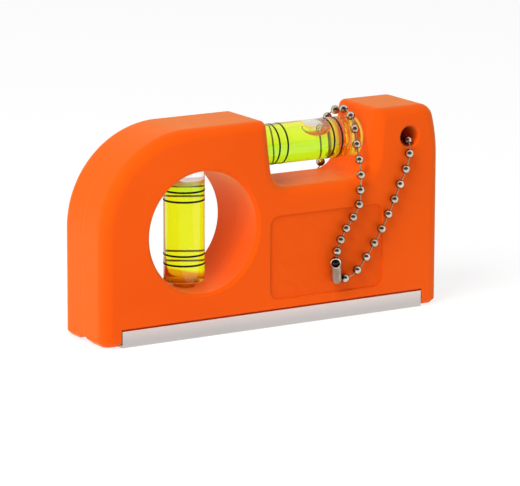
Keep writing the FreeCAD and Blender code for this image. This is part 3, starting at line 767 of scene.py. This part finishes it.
def make_links(middles, axes, sides=10, steps=5):
    """A round wire between each pair of beads, bent to leave each along the bead's own axis."""
    aside = Vector((0.3, 0.2, 0.9))
    vertices = []
    faces = []
    for index in range(len(middles) - 1):
        start_way = axes[index]
        end_way = axes[index + 1]
        start = middles[index] + start_way * LINK_START
        end = middles[index + 1] - end_way * LINK_START
        base = len(vertices)
        for step in range(steps + 1):
            point = bent_point(start, start_way, end, end_way, step / steps)
            way = start_way.lerp(end_way, step / steps).normalized()
            across = way.cross(aside).normalized()
            up = way.cross(across)
            for cosine, sine in circle(sides):
                vertices.append(point + (across * cosine + up * sine) * LINK_RADIUS)
        for low in range(base, base + steps * sides, sides):
            for side in range(sides):
                after = (side + 1) % sides
                faces.append((low + side, low + sides + side, low + sides + after, low + after))
        faces.append(tuple(range(base, base + sides)))
        faces.append(tuple(reversed(range(base + steps * sides, base + (steps + 1) * sides))))
    links = piece_from("chain_wires", vertices, faces, WIRE)
    sharpen(links, 60)
    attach(links, "root")
    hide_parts("chain_links")


def make_port_ring(middle, sides=48, section_sides=12):
    """The rolled rim of the sleeve's port, which follows the tube's round front; its much lighter nickel
    paints the rim's highlight.
    """
    front = Vector((math.sin(SLEEVE_TURN), -math.cos(SLEEVE_TURN), 0))
    aside = Vector((math.cos(SLEEVE_TURN), math.sin(SLEEVE_TURN), 0))
    vertices = []
    faces = []
    for cosine, sine in circle(sides):
        tube_depth = math.sqrt(SLEEVE_RADIUS ** 2 - (PORT_RING_RADIUS * cosine) ** 2)
        for out, forward in circle(section_sides):
            radius = PORT_RING_RADIUS + PORT_RING_HALF * out
            depth = tube_depth + PORT_RING_HALF * forward
            vertices.append(middle + aside * cosine * radius + UP * sine * radius + front * depth)
    for side in range(sides):
        low = side * section_sides
        high = (side + 1) % sides * section_sides
        for step in range(section_sides):
            after = (step + 1) % section_sides
            faces.append((low + step, high + step, high + after, low + after))
    ring = piece_from("sleeve_port_rim", vertices, faces, RIM)
    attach(ring, "root")


bead_middles, bead_ways = make_beads()
make_links(bead_middles, bead_ways)
make_port_ring(bead_middles[0])


# Materials of the pieces that come from the frame

for name, material in (
    ("front_shell", ORANGE),
    ("back_shell", ORANGE),
    ("base_rail", ALUMINIUM),
    ("chain_sleeve", DULL),
):
    nodes[name].data.materials.clear()
    nodes[name].data.materials.append(material)


# Floor, light and camera

def floor_glow(tree):
    """How much the floor glows: even, but shiny metal sees it darken away from the object on one side."""
    place = place_in(tree)
    flat = Vector((TOWARDS_CAMERA.x, TOWARDS_CAMERA.y, 0)).normalized()
    facing = vector_math(tree, "DOT_PRODUCT", vector_math(tree, "NORMALIZE", place), flat)
    far = remap(tree, vector_math(tree, "LENGTH", place), FLOOR_FAR, (0, 1))
    dark = arithmetic(tree, "MULTIPLY", remap(tree, facing, FLOOR_FACING, (0, FLOOR_DARKENING)), far)
    dark = arithmetic(tree, "MULTIPLY", dark, is_ray(tree, "Is Glossy Ray"))
    return remap(tree, dark, (0, 1), (FLOOR_GLOW, 0))


def make_floor():
    """A white floor that takes the object's shadow, and is evenly white where it is looked at."""
    material, tree, shader = new_material("white_floor")
    grain = noise(tree, place_in(tree), scale=40, detail=2)
    feed(tree, shader, {
        "Base Color": mottled(tree, grain, FLOOR_TONES),
        "Roughness": 0.9,
        "Emission Color": WHITE,
        "Emission Strength": FLOOR_LIFT,
    })
    glow = new_node(tree, "ShaderNodeEmission", {"Strength": floor_glow(tree)}).outputs[0]
    plain = new_node(tree, "ShaderNodeBsdfDiffuse", {"Color": FLOOR_DIFFUSE}).outputs[0]
    seen = new_node(tree, "ShaderNodeAddShader", {0: glow, 1: plain}).outputs[0]
    looked_at = is_ray(tree, "Is Camera Ray", "Is Transmission Ray", "Is Glossy Ray")
    surface = mix_shaders(tree, looked_at, shader.outputs[0], seen)
    feed(tree, tree.nodes["Material Output"], {"Surface": surface})
    ways = ((-1, -1), (1, -1), (1, 1), (-1, 1))
    mesh = bpy.data.meshes.new("floor")
    mesh.from_pydata([(x * FLOOR_HALF, y * FLOOR_HALF, 0) for x, y in ways], [], [(0, 1, 2, 3)])
    mesh.materials.append(material)
    floor = bpy.data.objects.new("floor", mesh)
    bpy.context.scene.collection.objects.link(floor)


def make_world():
    """A white studio, where shiny metal sees a darker room on the side the photograph was taken from."""
    world = bpy.data.worlds.new("studio")
    world.use_nodes = True
    bpy.context.scene.world = world
    tree = world.node_tree
    ambient = tree.nodes["Background"]
    feed(tree, ambient, {"Color": WHITE, "Strength": AMBIENT})
    way = tree.nodes.new("ShaderNodeTexCoord").outputs["Generated"]
    facing = vector_math(tree, "DOT_PRODUCT", way, TOWARDS_CAMERA)
    room = remap(tree, facing, ROOM_FACING, (1, ROOM_STRENGTH))
    mirrored = new_node(tree, "ShaderNodeBackground", {"Color": WHITE, "Strength": room}).outputs[0]
    seen = new_node(tree, "ShaderNodeBackground", {"Color": WHITE, "Strength": 1.0}).outputs[0]
    indirect = mix_shaders(tree, is_ray(tree, "Is Glossy Ray"), ambient.outputs[0], mirrored)
    looked_at = is_ray(tree, "Is Camera Ray", "Is Transmission Ray")
    feed(tree, tree.nodes["World Output"], {"Surface": mix_shaders(tree, looked_at, indirect, seen)})


def make_lamp(name, place, width, power):
    """A soft square lamp turned to the object, which neither the camera nor shiny metal sees."""
    data = bpy.data.lights.new(name, "AREA")
    data.shape = "SQUARE"
    data.size = width
    data.energy = power
    lamp = bpy.data.objects.new(name, data)
    bpy.context.scene.collection.objects.link(lamp)
    lamp.location = place
    lamp.rotation_euler = (Vector(LIT_TARGET) - Vector(place)).to_track_quat("-Z", "Y").to_euler()
    lamp.visible_camera = False
    lamp.visible_glossy = False


def make_camera():
    data = bpy.data.cameras.new("camera")
    data.sensor_width = SENSOR
    data.sensor_fit = "HORIZONTAL"
    data.lens = SENSOR * FOCAL_PIXELS / PHOTO_WIDTH
    data.shift_x = (PHOTO_WIDTH / 2 - CENTRE_ACROSS) / PHOTO_WIDTH
    data.shift_y = (CENTRE_DOWN - PHOTO_HEIGHT / 2) / PHOTO_WIDTH
    data.clip_start = 0.01
    data.clip_end = 20
    camera = bpy.data.objects.new("camera", data)
    bpy.context.scene.collection.objects.link(camera)
    camera.location = TARGET + TOWARDS_CAMERA * DISTANCE
    look = (-TOWARDS_CAMERA).to_track_quat("-Z", "Y").to_matrix().to_4x4()
    camera.rotation_euler = (look @ Matrix.Rotation(ROLL, 4, "Z")).to_euler()
    bpy.context.scene.camera = camera


make_floor()
make_world()
make_lamp("key_light", (-0.72, -0.36, 0.9), width=0.6, power=KEY_WATTS)
make_lamp("side_light", (-1.0, -0.5, 0.2), width=0.5, power=SIDE_WATTS)
make_camera()
bpy.context.scene.view_settings.view_transform = "Standard"
